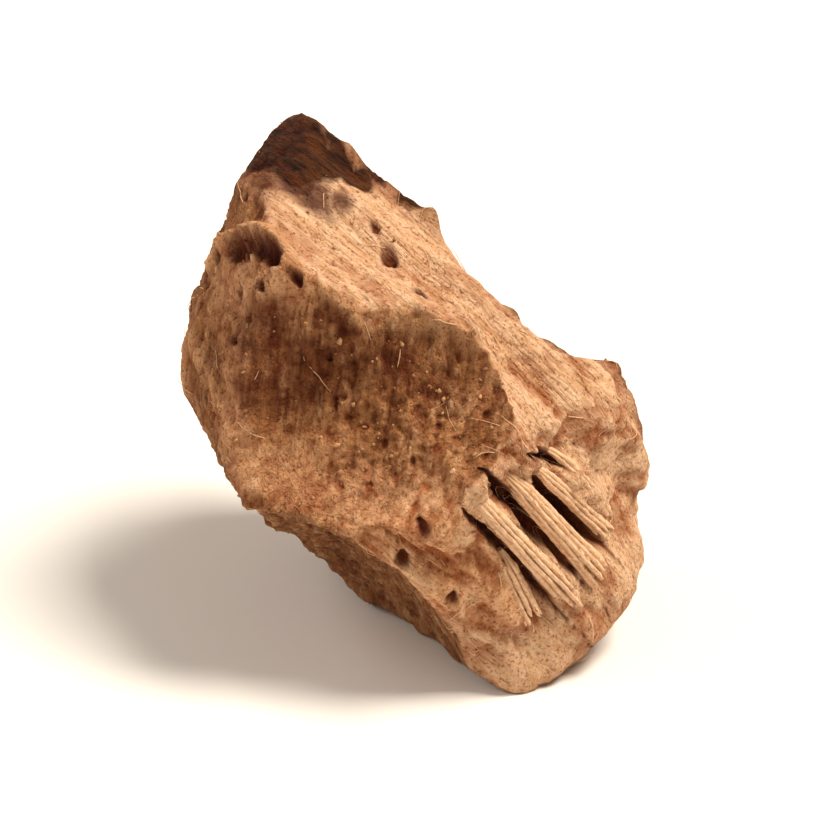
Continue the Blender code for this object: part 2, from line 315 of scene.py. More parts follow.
def relief(points, kinds):
    """The surface of each kind of face: lumpy breaks, stepped splits, wrinkled skin with ring scars."""
    lumpy = 0.15 * MM * noise(points / (1.3 * MM), 30) + 0.10 * MM * noise(points / (0.8 * MM), 31)
    strips = along_fibres(points, 1.1 * MM, 6 * MM, 32)
    stepped = 0.20 * MM * np.tanh(4 * strips)
    stepped += 0.08 * MM * along_fibres(points, 0.7 * MM, 4 * MM, 33)
    wrinkled = -0.11 * MM * np.abs(along_fibres(points, 0.8 * MM, 5 * MM, 34))
    skin = SKIN_STEP + wrinkled + RING_HEIGHT * ring_height(points)
    return kinds["break"] * lumpy + kinds["split"] * stepped + kinds["skin"] * skin


def billows(points, axes, across, along, seed):
    """Rounded bundles with sharp creases between them: the size of noise, less its mean."""
    return np.abs(noise(points @ axes.T / (across, across, along), seed)) - MEAN_SIZE


def crumb(points):
    """On a break: rounded crumbs, large and small, drawn out along the tear, with pores among them."""
    height = 0.16 * MM * billows(points, TEAR_GRAIN, 0.62 * MM, 1.3 * MM, 51)
    height += 0.11 * MM * billows(points, TEAR_GRAIN, 0.30 * MM, 0.60 * MM, 52)
    height += 0.055 * MM * noise(points / (0.19 * MM), 53)
    pore = nearest_point(points @ TEAR_GRAIN.T / (0.50 * MM, 0.50 * MM, 0.85 * MM), 54)
    height -= 0.09 * MM * (1 - smooth_step(0.10, 0.30, pore))
    return height


def fibre_ridges(points):
    """On a split: bundles of fibres and thin layers with steps between them, calmer high up."""
    height = 0.14 * MM * billows(points, GRAIN, 0.55 * MM, 5.0 * MM, 55)
    height += 0.09 * MM * billows(points, GRAIN, 0.27 * MM, 2.2 * MM, 56)
    layers = along_fibres(points, 0.9 * MM, 2.2 * MM, 57) + 0.30 * noise(points / (0.28 * MM), 58)
    height += 0.055 * MM * np.tanh(6 * layers)
    height *= 1 - 0.45 * smooth_step(1.5 * MM, 3.5 * MM, points[:, 2])
    height += 0.03 * MM * noise(points / (0.24 * MM), 59) + 0.025 * MM * noise(points / (0.17 * MM), 60)
    return height


def worn_grain(points):
    """On an old cut: low grains that lie close, rubbed nearly smooth."""
    height = 0.05 * MM * noise(points / (0.5 * MM), 65)
    height += 0.05 * MM * billows(points, GRAIN, 0.25 * MM, 0.4 * MM, 66)
    height += 0.025 * MM * noise(points / (0.17 * MM), 67)
    return height


def wrinkles(points):
    """On the skin: creases along the fibres, coarse and fine, and short cracks across them."""
    height = -0.15 * MM * np.abs(along_fibres(points, 0.50 * MM, 2.8 * MM, 61))
    height -= 0.07 * MM * np.abs(along_fibres(points, 0.24 * MM, 1.3 * MM, 62))
    cracks = np.exp(-((noise(points @ GRAIN.T / (1.4 * MM, 1.4 * MM, 0.4 * MM), 63) / 0.06) ** 2))
    height += 0.03 * MM * noise(points / (0.25 * MM), 64) - 0.06 * MM * cracks
    return height


FINE_RELIEF = {"break": crumb, "split": fibre_ridges, "cut": worn_grain, "skin": wrinkles}


# %% [markdown]
# ## Pits, splits and rims
#
# Canals that once held sap and oil run through the root. Where a break cuts one open it shows as
# a small pit, darkened inside with painted shade, and several run together in the knob at the
# upper left. On the shoulder the dried flesh came apart between its fibres in four narrow splits,
# darkened inside with painted shade as well. Both are pressed into the radius: a pit about two
# thirds as deep as it is wide, and a split as a groove along an arc over the surface. Elsewhere
# the flesh curled up as it dried, and left a low pale rim: round the hollow of the knob, along the
# upper edge of the front hollow, and at the lower left. Their paleness is partly a painted
# highlight along the edges.

# %% Where the pits, the splits and the rims are
# a split: its start, its end, and half its width
SLOTS = (
    ((-66, 10), (-35, -31), 0.24 * MM),
    ((-45, 0), (-22, -29), 0.34 * MM),
    ((-74, -1), (-41, -38), 0.16 * MM),
    ((-48, 10), (-28, -3), 0.13 * MM),
)
SLOT_DEPTH = 3.0  # of half its width
# a pit: its azimuth and elevation, and its radius
PITS = (
    (171, 45, 0.42 * MM), (175, 49, 0.36 * MM), (180, 52, 0.33 * MM), (-175, 54, 0.38 * MM),
    (139, 80, 0.26 * MM), (-63, 83, 0.23 * MM), (-164, 56, 0.20 * MM), (-178, 40, 0.20 * MM),
    (-170, 47, 0.16 * MM), (131, 74, 0.15 * MM),
    (-86, -9, 0.20 * MM), (-93, -23, 0.22 * MM), (-77, -32, 0.18 * MM),
)
PIT_DEPTH = 1.3  # of its radius
# a rim: the places along it, its height, half its width, and how pale it is
RIMS = (
    (((163, 32), (164, 38), (167, 45), (173, 52), (-178, 57)), 0.24 * MM, 0.19 * MM, 1.0),
    (((-169, 46), (-163, 54), (-152, 60), (-134, 62), (-127, 60), (-112, 68), (-77, 70), (-52, 64),
      (-42, 50), (-42, 36)), 0.10 * MM, 0.14 * MM, 0.55),
    (((174, 17), (-170, 13), (-156, 8), (-147, 0)), 0.12 * MM, 0.22 * MM, 0.6),
)
RIM_STEPS = 10  # for each place along a rim
HIDDEN_PITS = 9
HIDDEN_PIT_RADIUS = (0.14 * MM, 0.26 * MM)
PIT_SEED = 41


def hidden_pits():
    """Seeded places of more pits, round the two ends of the piece and away from its foot."""
    rng = np.random.default_rng(PIT_SEED)
    places = []
    while len(places) < HIDDEN_PITS:
        azimuth, elevation = rng.uniform(0, 200), rng.uniform(-35, 50)
        if abs(facing(azimuth, elevation) @ FIBRE) > 0.5:
            places.append((azimuth, elevation, rng.uniform(*HIDDEN_PIT_RADIUS)))
    return places


def pit_depths(directions, radius):
    """How deep each point lies in a pit, and one inside a pit, where shade is painted: round, with a ragged
    rim and steep sides.
    """
    depth = np.zeros(len(directions))
    shade = np.zeros(len(directions))
    ragged = 1 + 0.22 * noise(directions * radius[:, None] / (0.25 * MM), 71)
    for azimuth, elevation, size in (*PITS, *hidden_pits()):
        axis = facing(azimuth, elevation)
        away = radius * np.linalg.norm(directions - axis, axis=1) / (size * ragged)
        depth = np.maximum(depth, PIT_DEPTH * size * (1 - smooth_step(0.45, 1.1, away)))
        shade = np.maximum(shade, 1 - smooth_step(0.6, 1.25, away))
    return depth, shade


def rims(directions, radius):
    """How much the rims add, and how pale they are, partly a painted highlight: bell curves of how far it
    is to a rim's path.
    """
    height = np.zeros(len(directions))
    shade = np.zeros(len(directions))
    for places, crest, half_width, pale in RIMS:
        corners = np.array([facing(*place) for place in places])
        steps = np.linspace(0, len(places) - 1, RIM_STEPS * len(places))
        path = unit(np.column_stack([np.interp(steps, range(len(places)), line) for line in corners.T]))
        away = np.min([np.linalg.norm(directions - place, axis=1) for place in path], axis=0) * radius
        near = np.exp(-((away / half_width) ** 2))
        height = np.maximum(height, crest * near)
        shade = np.maximum(shade, pale * near)
    return height, shade


def slot_depths(directions, radius):
    """The same for the splits: each follows an arc, widest half way along it, with thin ends."""
    depth = np.zeros(len(directions))
    shade = np.zeros(len(directions))
    points = directions * radius[:, None]
    wobble = 0.10 * MM * noise(points / (0.9 * MM), 72) + 0.05 * MM * noise(points / (0.3 * MM), 73)
    for start, end, half_width in SLOTS:
        first, last = facing(*start), facing(*end)
        side = unit(np.cross(first, last))
        along = unit(np.cross(side, first))
        turn = np.arctan2(directions @ along, directions @ first) / np.arccos(first @ last)
        swell = np.sin(np.pi * np.clip(turn, 0, 1)) ** 0.5
        away = np.abs(radius * (directions @ side) + wobble) / (half_width * np.maximum(swell, 0.05))
        inside = (1 - smooth_step(0.55, 1.15, away)) * (swell > 0)
        depth = np.maximum(depth, SLOT_DEPTH * half_width * swell * inside)
        shade = np.maximum(shade, (1 - smooth_step(0.7, 1.4, away)) * (swell > 0))
    return depth, shade


# %% [markdown]
# ## Patches of colour, some of them partly painted light and shade
#
# Some places differ in colour from the rest of their face: the dark cap of skin left on the peak
# and on the edge to its right, a brown scar where a rootlet sat, the dark resinous flesh high in
# the hollow, darkened further with painted shade under its overhanging upper edge, the pale
# crumbly lip at its left and its foot, which also reaches over the front of the knob and is partly
# painted light, and the pale block under it, partly painted light on a face that the window
# hardly reaches. A patch is a soft spot with a ragged outline round each of its places, kept as a
# value at each point.

# %% Where the patches are, in millimetres from the middle, and how far they reach
PATCHES = {
    "cap": (((-3.5, 3.4, 6.7), 1.00), ((-3.0, 2.6, 6.5), 0.75), ((-2.2, 3.0, 6.2), 0.70),
            ((-1.6, 2.8, 5.9), 0.45), ((-0.8, 3.2, 5.8), 0.35), ((0.1, 2.6, 5.3), 0.30),
            ((0.8, 2.8, 4.1), 0.28)),
    "scar": (((-2.6, 1.7, 5.9), 0.60), ((-3.3, 1.9, 6.2), 0.50), ((-1.9, 1.7, 5.7), 0.40)),
    "dark": (((-4.0, -1.3, 3.4), 0.90), ((-3.3, -1.8, 2.7), 0.95), ((-4.1, -2.1, 2.0), 0.65),
             ((-2.0, -1.8, 3.9), 0.75), ((-0.5, -1.9, 2.9), 0.75), ((1.1, -2.1, 2.0), 0.60),
             ((-2.2, -2.0, 2.6), 0.85)),
    "lip": (((-3.0, -3.2, -0.2), 0.90), ((-4.4, -3.0, 0.1), 0.80), ((-5.0, -2.0, 0.9), 0.75),
            ((-1.2, -3.6, -0.5), 0.80), ((-5.3, -1.4, 2.6), 0.60), ((-5.2, -0.6, 3.8), 0.70),
            ((-4.6, -0.1, 4.2), 1.25), ((-3.8, -0.8, 4.6), 0.70)),
    "block": (((0.3, -4.9, -0.7), 1.20), ((1.2, -4.7, -2.3), 1.20), ((-0.9, -4.6, -1.2), 0.90),
              ((2.2, -4.4, -3.4), 0.80)),
}
# the bed that the torn fibres lie in
TORN_BED = (-47, -10)
BED_SPREAD = 0.24
BED_DEPTH = 0.22 * MM


def patch(points, places):
    """One inside any of the places and zero outside, with a ragged edge."""
    ragged = 1 + 0.35 * noise(points / (0.8 * MM), 81) + 0.20 * noise(points / (0.3 * MM), 82)
    inside = np.zeros(len(points))
    for place, reach in places:
        away = np.linalg.norm(points - np.array(place) * MM, axis=1) / (reach * MM) * ragged
        inside = np.maximum(inside, 1 - smooth_step(0.3, 1.7, away))
    return inside


# %% [markdown]
# ## One surface from all of it
#
# The plain form is worked out first, and tells where on the piece each point lies. The fine
# relief is read there and added to each face before the faces meet, so that an edge between a
# granular and a ridged face comes out ragged by itself. The plain form also gives the shift that
# puts the piece on the origin, because the plain solid was moved by the middle of that box.

# %% The plain form and the finished surface
def plain_surface(directions):
    """The plain solid's radius in each direction."""
    radius, shares = soft_minimum(face_distances(directions), EDGE_SHARPNESS)
    radius, struck = strike_hollows(directions, add_lumps(directions, radius))
    return radius + relief(directions * radius[:, None], kind_shares(shares, struck))


def on_foot(points):
    """The points, with what would reach below the flat foot laid on it."""
    return np.column_stack((points[:, 0], points[:, 1], np.maximum(points[:, 2], FOOT_LEVEL)))


def finished_surface(directions):
    """The finished points, and the values that the material reads: kinds, patches, crests and hollows."""
    rows = face_distances(directions)
    radius, _ = soft_minimum(rows, EDGE_SHARPNESS)
    radius, _ = strike_hollows(directions, add_lumps(directions, radius))
    fine = {kind: height(directions * radius[:, None]) for kind, height in FINE_RELIEF.items()}
    rows = rows + np.array([fine[kind] for kind in OWN_KIND])
    radius, shares = soft_minimum(rows, EDGE_SHARPNESS)
    radius, struck = strike_hollows(directions, add_lumps(directions, radius), fine)
    kinds = kind_shares(shares, struck)
    points = directions * radius[:, None]
    radius = radius + relief(points, kinds)
    rim_height, rim_shade = rims(directions, radius)
    radius = radius + rim_height
    pit_depth, pit_shade = pit_depths(directions, radius)
    slot_depth, slot_shade = slot_depths(directions, radius)
    bed_depth = BED_DEPTH * bell(directions, facing(*TORN_BED), BED_SPREAD)
    radius = radius - np.maximum(pit_depth, slot_depth) - bed_depth
    looks = dict(kinds)
    # how high each point lies in its fine relief: the material paints shade in the low creases and a
    # highlight with wear on the crests
    looks["crest"] = sum(kinds[kind] * fine[kind] for kind in KINDS) / (0.1 * MM)
    # painted shade inside the pits and splits, which the material darkens
    looks["hollow"] = np.maximum(pit_shade, slot_shade)
    looks["ring"] = ring_height(points) * kinds["skin"]
    # how pale the rims are: curled flesh, with a painted highlight along their edges
    looks["rim"] = rim_shade
    for name, places in PATCHES.items():
        looks[name] = patch(points, places)
    return on_foot(directions * radius[:, None]), looks


# %% [markdown]
# ## The grid of the surface
#
# A cube whose six sides are grids, blown out into a ball, has no poles and nearly even squares.
# Each side is a function of two parameters, and the tangent spreads its lines evenly. The grid
# is then drawn closer together round the torn shoulder and the hollowed front, where there is
# most to show: each direction moves towards the middle of such an area by a share that dies away
# as a bell curve.

# %% Directions of the grid, and a mesh from arrays
GRID = 127  # squares along a side
PLAIN_GRID = 26  # the same for the plain solid
CLOSER = (((-52, -8), 0.36, 0.42), ((-85, 25), 0.40, 0.95))  # where, how much closer, how far out


def cube_ball(count):
    """Directions on six grids of `count` squares a side, joined into one ball, and its squares."""
    lines = np.tan(np.linspace(-1, 1, count + 1) * np.pi / 4)
    first, second = np.meshgrid(lines, lines, indexing="ij")
    sides, squares = [], []
    index = np.arange((count + 1) ** 2).reshape(count + 1, count + 1)
    square = np.stack((index[:-1, :-1], index[1:, :-1], index[1:, 1:], index[:-1, 1:]), axis=-1)
    square = square.reshape(-1, 4)
    for axis in range(3):
        for way in (-1, 1):
            side = np.empty((count + 1, count + 1, 3))
            side[..., axis] = way
            side[..., (axis + 1) % 3] = first
            side[..., (axis + 2) % 3] = second
            sides.append(side.reshape(-1, 3))
            turned = square if way > 0 else square[:, ::-1]
            squares.append(turned + (len(sides) - 1) * (count + 1) ** 2)
    points = np.concatenate(sides)
    _, keep, joined = np.unique(points.round(9), axis=0, return_index=True, return_inverse=True)
    return unit(points[keep]), joined.reshape(-1)[np.concatenate(squares)]


def draw_closer(directions):
    """The grid with its lines drawn together round a few places."""
    for place, share, spread in CLOSER:
        pull = share * bell(directions, facing(*place), spread)
        directions = unit(directions + pull[:, None] * (facing(*place) - directions))
    return directions


def new_piece(name, points, faces, material=None, **attributes):
    """A mesh object at the origin from arrays of points and faces, smooth, with its attributes."""
    mesh = bpy.data.meshes.new(name)
    mesh.from_pydata(points, [], faces)
    mesh.update()
    for key, values in attributes.items():
        layer = mesh.attributes.new(key, "FLOAT", "POINT")
        layer.data.foreach_set("value", np.asarray(values, np.float32))
    mesh.shade_smooth()
    piece = bpy.data.objects.new(name, mesh)
    bpy.context.scene.collection.objects.link(piece)
    if material:
        mesh.materials.append(material)
    return piece


# %% The shift that stands the piece on the origin
plain_directions, _ = cube_ball(PLAIN_GRID)
plain_points = on_foot(plain_directions * plain_surface(plain_directions)[:, None])
LOW, HIGH = plain_points.min(axis=0), plain_points.max(axis=0)
MIDDLE = -np.array(((LOW[0] + HIGH[0]) / 2, (LOW[1] + HIGH[1]) / 2, LOW[2]))
print("plain form, mm:", (LOW / MM).round(2), (HIGH / MM).round(2), "middle at", (MIDDLE / MM).round(3))

# %% The body of the piece
directions, squares = cube_ball(GRID)
directions = draw_closer(directions)
points, looks = finished_surface(directions)
root = new_piece("galangal_flesh", points + MIDDLE, squares, **looks)
print("body:", len(points), "points,", 2 * len(squares), "triangles")

# %% [markdown]
# ## Colours and a way to write materials
#
# Colours are written as a picture editor shows them, and one function turns them to the linear
# values that a shader wants. One more small function adds a node, sets its options and inputs,
# links each input that is given as another node's output, and returns an output.

# %% Colour and node helpers
def rgb(code):
    """An sRGB hex colour as linear red, green, blue and alpha."""
    values = np.array([int(code[place : place + 2], 16) for place in (1, 3, 5)]) / 255
    linear = np.where(values <= 0.04045, values / 12.92, ((values + 0.055) / 1.055) ** 2.4)
    return (*linear, 1.0)


def add_node(tree, kind, inputs, out=0, **settings):
    """Adds a node with its settings and links; `inputs` are values or outputs, `out` picks its own."""
    node = tree.nodes.new("ShaderNode" + kind)
    for name, value in settings.items():
        setattr(node, name, value)
    for key, value in inputs.items():
        if isinstance(value, bpy.types.NodeSocket):
            tree.links.new(value, node.inputs[key])
        else:
            node.inputs[key].default_value = value
    return node.outputs[out] if node.outputs else None


def empty_material(name):
    """A material without nodes, and the function that adds nodes to it."""
    material = bpy.data.materials.new(name)
    material.use_nodes = True
    material.node_tree.nodes.clear()
    return material, functools.partial(add_node, material.node_tree)


# %% [markdown]
# ## Dried flesh and skin
#
# The real finish is bare plant tissue, dried in the sun: it is matt and a little dusty, because
# dry starch lies on it, so it has a faint sheen at its edges and no gloss. Its colour says how
# it was opened. A split is pale peach with darker streaks along the fibres. A break is brown with
# paler streaks up the tear. The skin is the darkest, with pale ring scars. The body carries the
# share of each kind and patch as an attribute, and how high a point lies in its relief. From that
# height the creases are darkened with painted shade, and the crests are made paler, partly as wear
# and partly as a painted highlight. What is too fine for the mesh is bump: its height is worked
# out in millimetres, size by size.

# %% What the finishes are made of: spots along the grain, layers of colour, and the dry surface
GRAIN_TURN = Matrix(GRAIN.T.tolist()).to_euler()
TEAR_TURN = Matrix(TEAR_GRAIN.T.tolist()).to_euler()


def spots(add, size, along=None, low=0.0, high=1.0, seed=0.0, turn=GRAIN_TURN):
    """Noise with spots of `size` mm, `along` mm long: zero where it is at `low` and one at `high`."""
    shift = (seed * MM, seed * MM, seed * MM)
    scale = (size * MM, size * MM, (along or size) * MM)
    where = add("Mapping", {"Vector": add("TexCoord", {}, "Object"), "Rotation": turn,
                            "Location": shift, "Scale": scale}, vector_type="TEXTURE")
    value = add("TexNoise", {"Vector": where, "Scale": 1.0, "Detail": 4.0, "Roughness": 0.6})
    return add("MapRange", {"Value": value, "From Min": low, "From Max": high})


def paint_over(add, colour, *layers, way="MIX"):
    """A colour with layers over it. Each has a share and a colour, and `way` is how it is laid on."""
    for share, over in layers:
        colour = add("Mix", {0: share, 6: colour, 7: over}, 2, data_type="RGBA", blend_type=way)
    return colour


def dry_surface(add, colour, height):
    """Dry plant tissue: matt, a little dusty, with its height in millimetres as bump."""
    bump = add("Bump", {"Strength": 1.0, "Distance": MM, "Height": height})
    shader = add("BsdfPrincipled", {
        "Base Color": colour, "Roughness": 0.92, "IOR": 1.45, "Specular IOR Level": 0.12,
        "Sheen Weight": 0.03, "Sheen Roughness": 0.7, "Normal": bump})
    add("OutputMaterial", {"Surface": shader})


# %% The colour of each kind of face and of each patch
def flesh_colours(add, grain, tear, share):
    """Colours by name. `grain` gives spots along the fibres and `tear` spots along the tear."""
    ring = add("Math", {0: share["ring"], 1: grain(0.45, 0.45, 0.34, 0.60, 17)}, operation="MULTIPLY")
    return {
        # pale peach, with tan streaks and a few brown specks
        "split": paint_over(
            add, rgb("#e8be99"),
            (grain(0.24, 2.6, 0.42, 0.66), rgb("#d7a57a")),
            (grain(1.3, 2.6, 0.56, 0.84, 9), rgb("#cc986c")),
            (grain(0.16, 1.1, 0.58, 0.72, 5), rgb("#9f693f")),
            (grain(0.5, 2.0, 0.64, 0.80, 7), rgb("#dcae86"))),
        # brown, with paler streaks up the tear, and dark gaps
        "break": paint_over(
            add, rgb("#ab764a"),
            (tear(1.0, 2.0, 0.36, 0.64, 11), rgb("#885731")),
            (tear(0.34, 2.0, 0.46, 0.66, 12), rgb("#c08f65")),
            (tear(0.26, 1.7, 0.51, 0.70, 13), rgb("#5f3110"))),
        # dark reddish brown, with paler scuffs along it and pale ring scars
        "skin": paint_over(
            add, rgb("#7d4d2e"),
            (grain(1.0, 2.2, 0.36, 0.64, 15), rgb("#4e2a15")),
            (grain(0.28, 1.4, 0.52, 0.70, 16), rgb("#94643f")),
            (ring, rgb("#b59772"))),
        "cut": paint_over(add, rgb("#c28f63"), (tear(0.18, 0.3, 0.42, 0.60, 21), rgb("#966139"))),
        # the lip and the block: paler flesh, partly painted light
        "lip": paint_over(add, rgb("#cd9a71"), (tear(0.22, 0.5, 0.40, 0.72, 25), rgb("#a06a41"))),
        "block": paint_over(add, rgb("#ebb689"), (tear(0.30, 0.5, 0.40, 0.66, 27), rgb("#bd8355"))),
        "scar": paint_over(add, rgb("#805b47"), (grain(0.45, 0.9, 0.40, 0.64, 24), rgb("#603e2d"))),
        "cap": paint_over(add, rgb("#5b300f"), (grain(0.35, 1.0, 0.38, 0.62, 26), rgb("#2e1504"))),
    }


# %% Dried galangal flesh and skin
# an attribute shows from the first value on, and in full from the second
EDGES = {"break": (0.22, 0.78), "cap": (0.22, 0.55), "scar": (0.15, 0.95), "block": (0.10, 0.60),
         "lip": (0.05, 0.75)}


def flesh_height(add, grain, tear, share):
    """The bump in millimetres: dust all over, and on each kind of face its own spots, with a depth."""
    height = add("Math", {0: grain(0.07, seed=23), 1: 0.06}, operation="MULTIPLY")
    for pattern, here, depth in (
            (tear(0.18, 0.3, seed=21), share["break"], 0.24),
            (grain(0.13, 1.0, seed=22), share["split"], 0.24),
            (grain(0.28, 0.9, seed=28), share["cap"], 0.30),
            (grain(0.22, 0.8, seed=29), share["skin"], 0.15),
            (grain(0.45, 0.9, seed=24), 1.0, 0.10)):
        scaled = add("Math", {0: here, 1: depth}, operation="MULTIPLY")
        height = add("Math", {0: pattern, 1: scaled, 2: height}, operation="MULTIPLY_ADD")
    return height


def dried_flesh(names):
    """Bare dried tissue: its colour by how it was opened, with painted shade in creases, and starch dust on
    it.
    """
    material, add = empty_material("dried_root_flesh_and_skin")
    grain = functools.partial(spots, add)
    tear = functools.partial(spots, add, turn=TEAR_TURN)
    share = {name: add("Attribute", {}, "Fac", attribute_name=name) for name in names}
    for name, (low, high) in EDGES.items():
        share[name] = add("MapRange", {"Value": share[name], "From Min": low, "From Max": high})
    # resin and painted shade: dark on the breaks high in the hollow, under its overhanging upper edge
    resin_and_shade = add("Math", {0: share["dark"], 1: tear(0.35, 1.6, 0.16, 0.62, 14)}, operation="MULTIPLY")
    resin_and_shade = add("Math", {0: resin_and_shade, 1: share["break"]}, operation="MULTIPLY")
    # painted shade: darker in the creases of the relief
    crease_shade = add("MapRange", {"Value": share["crest"], "From Min": 0.1, "From Max": -1.1})
    # paler on the crests of the relief, partly wear and partly a painted highlight
    crest_highlight_and_wear = add("MapRange", {"Value": share["crest"], "From Min": 0.55, "From Max": 1.6})
    own = flesh_colours(add, grain, tear, share)
    # the lip and block layers are partly painted light
    colour = paint_over(
        add, own["split"],
        *((share[name], own[name]) for name in ("break", "block", "lip", "cut", "skin")),
        # painted highlight and wear on the crests, then resin with painted shade, then the scar
        (crest_highlight_and_wear, rgb("#e6be96")), (resin_and_shade, rgb("#5c2703")), (share["scar"], own["scar"]),
        # pale rims, partly a painted highlight along their edges
        (share["rim"], rgb("#dba97c")), (share["cap"], own["cap"]))
    colour = paint_over(
        add, colour,
        # painted shade in the creases and inside the pits and splits, then dark specks all over
        (crease_shade, rgb("#bd9070")), (share["hollow"], rgb("#7d4e30")),
        (grain(0.09, None, 0.53, 0.68, 23), rgb("#b98f70")), way="MULTIPLY")
    dry_surface(add, colour, flesh_height(add, grain, tear, share))
    return material


root.data.materials.append(dried_flesh(looks))
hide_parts("galangal_root")
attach(root, "root")

# %% [markdown]
# ## Tubes along paths
#
# Torn fibres and hairs are both thin tubes over the surface, so one function makes many at once:
# the paths are one array, with a ring of points round each place on each path. The ring stands
# square to the path: its first direction is the surface's outward one made square to the path,
# and its second is square to both. A point at each end closes the tube.

# %% Many tubes as one mesh
GROOVE_SIZE = 0.14 * MM  # of the unevenness on a tube's wall


def tube_faces(rings, sides):
    """Triangles of one closed tube: its rings' points first, then the two end points."""
    ring, side = np.meshgrid(np.arange(rings - 1), np.arange(sides), indexing="ij")
    here = ring * sides + side
    beside = ring * sides + (side + 1) % sides
    walls = np.concatenate([
        np.stack((here, beside, beside + sides), axis=-1).reshape(-1, 3),
        np.stack((here, beside + sides, here + sides), axis=-1).reshape(-1, 3)])
    side = np.arange(sides)
    turn = (side + 1) % sides
    first, last = rings * sides, rings * sides + 1
    start = np.stack((np.full(sides, first), turn, side), axis=-1)
    end = np.stack((np.full(sides, last), (rings - 1) * sides + side, (rings - 1) * sides + turn), axis=-1)
    return np.concatenate((walls, start, end))


def many_tubes(paths, radii, ragged=0.0, ends=0.0, seed=1):
    """Closed tubes along `paths` (tubes, rings, 3) with `radii` (tubes, rings, sides), and their faces.

    `ragged` is how uneven the wall is, as a share of the radius, and `ends` how far its fibres
    stand out past the end, in metres."""
    count, rings, sides = radii.shape
    along = unit(np.gradient(paths, axis=1))
    out = unit(paths)
    out = unit(out - np.sum(out * along, axis=-1, keepdims=True) * along)
    side = np.cross(along, out)
    angle = np.linspace(0, 2 * np.pi, sides, endpoint=False)
    spoke = out[:, :, None] * np.cos(angle)[:, None] + side[:, :, None] * np.sin(angle)[:, None]
    points = paths[:, :, None] + spoke * radii[..., None]
    if ragged:
        grooves = noise((points / GROOVE_SIZE).reshape(-1, 3), seed).reshape(count, rings, sides)
        points = points + spoke * (radii * ragged * grooves)[..., None]
    rng = np.random.default_rng(seed)
    reach = ends * rng.uniform(-1, 1, size=(count, 1, sides)) * np.linspace(0, 1, rings)[:, None] ** 8
    points = points + along[:, :, None] * reach[..., None]
    tips = np.stack((paths[:, 0], paths[:, -1]), axis=1)
    everything = np.concatenate((points.reshape(count, -1, 3), tips), axis=1)
    faces = tube_faces(rings, sides)
    offsets = np.arange(count)[:, None, None] * everything.shape[1]
    return everything.reshape(-1, 3), (faces + offsets).reshape(-1, 3)


# %% [markdown]
# ## The torn fibres of the shoulder
#
# Where the shoulder was torn, bundles of fibres stand out between the splits with blunt, bright
# ends. Each strand is a round bundle: a ring of thin fibres about a thicker one. Each fibre ends
# at its own place, so the strand's end is ragged. A fibre follows an arc between two directions:
# it starts inside the flesh and lifts off towards its free end. The ground under it is evened out
# by a curve of the second degree, because a torn fibre is stiff and doesn't follow each bump.

# %% Strands: start, end, half width, number of fibres, and how far the free end stands off
STRANDS = (
    ((-75, 9), (-38, -35), 0.25 * MM, 10, 0.26 * MM),
    ((-57, 7), (-29, -31), 0.30 * MM, 11, 0.20 * MM),
    ((-46, 6), (-18, -27), 0.19 * MM, 8, 0.18 * MM),
    ((-60, -21), (-51, -38), 0.22 * MM, 8, 0.34 * MM),
    ((-36, 9), (-14, -25), 0.12 * MM, 5, 0.04 * MM),
)
STRAND_RINGS, STRAND_SIDES = 72, 10
BUNDLE_FLATNESS = 0.75  # how thick a bundle is for its width
RING_FIBRES = 2.6  # the radii of all fibres in the ring, for half the bundle's width
CORE = 0.5  # the radius of the middle one, for the same
CORE_STOP = 0.88  # where along the strand the middle one ends
WANDER = 0.035 * MM  # how far a fibre strays from its line
USUAL_RADIUS = 6 * MM  # turns a way along the surface into a change of direction


def fibre_rows(rng):
    """A row for each fibre: its ends, its place in the bundle, its size, its lift, and where it stops."""
    rows = []
    for start, end, half_width, count, stand_off in STRANDS:
        ends = (*facing(*start), *facing(*end))
        thick = RING_FIBRES * half_width / count
        for turn in np.linspace(0, 2 * np.pi, count, endpoint=False):
            sideways, upwards = half_width * np.cos(turn), half_width * BUNDLE_FLATNESS * np.sin(turn)
            rows.append((*ends, sideways, upwards, thick, stand_off, rng.uniform(0.90, 1.0)))
        rows.append((*ends, 0, 0, CORE * half_width, stand_off, CORE_STOP))
    return np.array(rows)


def torn_fibres():
    """Points and faces of all strands."""
    rng = np.random.default_rng(3)
    rows = fibre_rows(rng)
    first, last = rows[:, None, 0:3], rows[:, None, 3:6]
    sideways, upwards, thick, stand_off, stop = (rows[:, column, None] for column in range(6, 11))
    share = np.linspace(0, 1, STRAND_RINGS)[None] * stop
    side = unit(np.cross(first, last))
    way = unit((1 - share[..., None]) * first + share[..., None] * last)
    own_line = 9.0 * np.arange(len(rows))[:, None] + 0 * share  # of noise, one for each fibre
    wander = noise(np.stack((share * 5, own_line, share * 0), axis=-1).reshape(-1, 3), 91)
    wander = WANDER * wander.reshape(share.shape)
    swell = 0.35 + 0.65 * smooth_step(0, 0.35, share)
    ground = (plain_surface(way.reshape(-1, 3)) - BED_DEPTH * 0.5).reshape(share.shape)
    curves = [np.polyfit(place, height, 2) for place, height in zip(share, ground)]
    ground = np.array([np.polyval(curve, place) for curve, place in zip(curves, share)])
    way = unit(way + side * ((sideways * swell + wander) / USUAL_RADIUS)[..., None])
    sunk = 0.06 * MM + 0.30 * MM * (1 - smooth_step(0.0, 0.30, share))
    lift = upwards * swell + wander + stand_off * share**1.6 - sunk
    paths = way * (ground + lift)[..., None]
    girth = thick * swell * (1 - 0.35 * smooth_step(0.97, 1.0, share / stop))
    girth = girth * rng.uniform(0.85, 1.15, size=(len(rows), 1))
    radii = np.repeat(girth[..., None], STRAND_SIDES, axis=2)
    return many_tubes(paths, radii, ragged=0.30, ends=0.08 * MM, seed=92)


